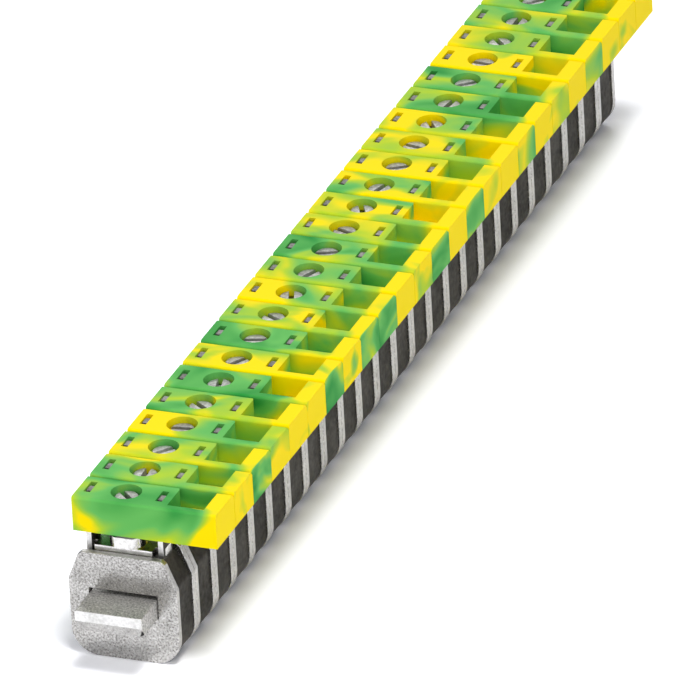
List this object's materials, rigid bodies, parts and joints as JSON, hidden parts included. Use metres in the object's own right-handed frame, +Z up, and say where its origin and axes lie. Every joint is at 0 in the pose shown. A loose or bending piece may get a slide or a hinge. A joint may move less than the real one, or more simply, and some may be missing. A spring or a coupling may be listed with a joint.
{
  "type": "earth terminal block",
  "caption": "Earth terminal block: a row of green and yellow capped screw clamps with steel cages, side by side on a flat busbar, for joining protective earth wires.",
  "frame": {"origin": "under the first clamp, in the plane that the cages stand on, below the centre line of the busbar", "axes": "+Y along the busbar from the first clamp to the last, +Z up, +X towards the overhanging end of the caps"},
  "size_m": [0.0227, 0.1865, 0.0246],
  "materials": {
    "bar": "plated, grainy",
    "strap": "smooth rolled sheet",
    "plate": "plated, grainy",
    "bridge": "bright plated",
    "screw": "zinc plated",
    "cap_green": "semi-gloss marbled moulding",
    "cap_mixed": "semi-gloss marbled moulding",
    "cap_yellow": "semi-gloss marbled moulding"
  },
  "bodies": {
    "root": {"busbar": "bar", "cage_straps": "strap", "slotted_plates": "plate", "threaded_bridges": "bridge", "cap_01": "cap_green", "cap_02": "cap_mixed", "cap_03": "cap_green", "cap_04": "cap_yellow", "cap_05": "cap_green", "cap_06": "cap_mixed", "cap_07": "cap_yellow", "cap_08": "cap_green", "cap_09": "cap_mixed", "cap_10": "cap_green", "cap_11": "cap_yellow", "cap_12": "cap_green", "cap_13": "cap_mixed", "cap_14": "cap_yellow", "cap_15": "cap_green", "cap_16": "cap_mixed", "cap_17": "cap_green", "cap_18": "cap_yellow", "cap_19": "cap_green", "cap_20": "cap_mixed", "cap_21": "cap_yellow", "cap_22": "cap_green", "cap_23": "cap_mixed", "cap_24": "cap_green", "cap_25": "cap_yellow"},
    "screw_01": {"clamp_screw_01": "screw"},
    "screw_02": {"clamp_screw_02": "screw"},
    "screw_03": {"clamp_screw_03": "screw"},
    "screw_04": {"clamp_screw_04": "screw"},
    "screw_05": {"clamp_screw_05": "screw"},
    "screw_06": {"clamp_screw_06": "screw"},
    "screw_07": {"clamp_screw_07": "screw"},
    "screw_08": {"clamp_screw_08": "screw"},
    "screw_09": {"clamp_screw_09": "screw"},
    "screw_10": {"clamp_screw_10": "screw"},
    "screw_11": {"clamp_screw_11": "screw"},
    "screw_12": {"clamp_screw_12": "screw"},
    "screw_13": {"clamp_screw_13": "screw"},
    "screw_14": {"clamp_screw_14": "screw"},
    "screw_15": {"clamp_screw_15": "screw"},
    "screw_16": {"clamp_screw_16": "screw"},
    "screw_17": {"clamp_screw_17": "screw"},
    "screw_18": {"clamp_screw_18": "screw"},
    "screw_19": {"clamp_screw_19": "screw"},
    "screw_20": {"clamp_screw_20": "screw"},
    "screw_21": {"clamp_screw_21": "screw"},
    "screw_22": {"clamp_screw_22": "screw"},
    "screw_23": {"clamp_screw_23": "screw"},
    "screw_24": {"clamp_screw_24": "screw"},
    "screw_25": {"clamp_screw_25": "screw"}
  },
  "joints": [
    {"name": "screw_travel_01", "type": "slide", "parent": "root", "child": "screw_01", "axis": [0, 0, -1], "range_m": [0, 0.0054]},
    {"name": "screw_travel_02", "type": "slide", "parent": "root", "child": "screw_02", "axis": [0, 0, -1], "range_m": [0, 0.0054]},
    {"name": "screw_travel_03", "type": "slide", "parent": "root", "child": "screw_03", "axis": [0, 0, -1], "range_m": [0, 0.0054]},
    {"name": "screw_travel_04", "type": "slide", "parent": "root", "child": "screw_04", "axis": [0, 0, -1], "range_m": [0, 0.0054]},
    {"name": "screw_travel_05", "type": "slide", "parent": "root", "child": "screw_05", "axis": [0, 0, -1], "range_m": [0, 0.0054]},
    {"name": "screw_travel_06", "type": "slide", "parent": "root", "child": "screw_06", "axis": [0, 0, -1], "range_m": [0, 0.0054]},
    {"name": "screw_travel_07", "type": "slide", "parent": "root", "child": "screw_07", "axis": [0, 0, -1], "range_m": [0, 0.0054]},
    {"name": "screw_travel_08", "type": "slide", "parent": "root", "child": "screw_08", "axis": [0, 0, -1], "range_m": [0, 0.0054]},
    {"name": "screw_travel_09", "type": "slide", "parent": "root", "child": "screw_09", "axis": [0, 0, -1], "range_m": [0, 0.0054]},
    {"name": "screw_travel_10", "type": "slide", "parent": "root", "child": "screw_10", "axis": [0, 0, -1], "range_m": [0, 0.0054]},
    {"name": "screw_travel_11", "type": "slide", "parent": "root", "child": "screw_11", "axis": [0, 0, -1], "range_m": [0, 0.0054]},
    {"name": "screw_travel_12", "type": "slide", "parent": "root", "child": "screw_12", "axis": [0, 0, -1], "range_m": [0, 0.0054]},
    {"name": "screw_travel_13", "type": "slide", "parent": "root", "child": "screw_13", "axis": [0, 0, -1], "range_m": [0, 0.0054]},
    {"name": "screw_travel_14", "type": "slide", "parent": "root", "child": "screw_14", "axis": [0, 0, -1], "range_m": [0, 0.0054]},
    {"name": "screw_travel_15", "type": "slide", "parent": "root", "child": "screw_15", "axis": [0, 0, -1], "range_m": [0, 0.0054]},
    {"name": "screw_travel_16", "type": "slide", "parent": "root", "child": "screw_16", "axis": [0, 0, -1], "range_m": [0, 0.0054]},
    {"name": "screw_travel_17", "type": "slide", "parent": "root", "child": "screw_17", "axis": [0, 0, -1], "range_m": [0, 0.0054]},
    {"name": "screw_travel_18", "type": "slide", "parent": "root", "child": "screw_18", "axis": [0, 0, -1], "range_m": [0, 0.0054]},
    {"name": "screw_travel_19", "type": "slide", "parent": "root", "child": "screw_19", "axis": [0, 0, -1], "range_m": [0, 0.0054]},
    {"name": "screw_travel_20", "type": "slide", "parent": "root", "child": "screw_20", "axis": [0, 0, -1], "range_m": [0, 0.0054]},
    {"name": "screw_travel_21", "type": "slide", "parent": "root", "child": "screw_21", "axis": [0, 0, -1], "range_m": [0, 0.0054]},
    {"name": "screw_travel_22", "type": "slide", "parent": "root", "child": "screw_22", "axis": [0, 0, -1], "range_m": [0, 0.0054]},
    {"name": "screw_travel_23", "type": "slide", "parent": "root", "child": "screw_23", "axis": [0, 0, -1], "range_m": [0, 0.0054]},
    {"name": "screw_travel_24", "type": "slide", "parent": "root", "child": "screw_24", "axis": [0, 0, -1], "range_m": [0, 0.0054]},
    {"name": "screw_travel_25", "type": "slide", "parent": "root", "child": "screw_25", "axis": [0, 0, -1], "range_m": [0, 0.0054]}
  ]
}
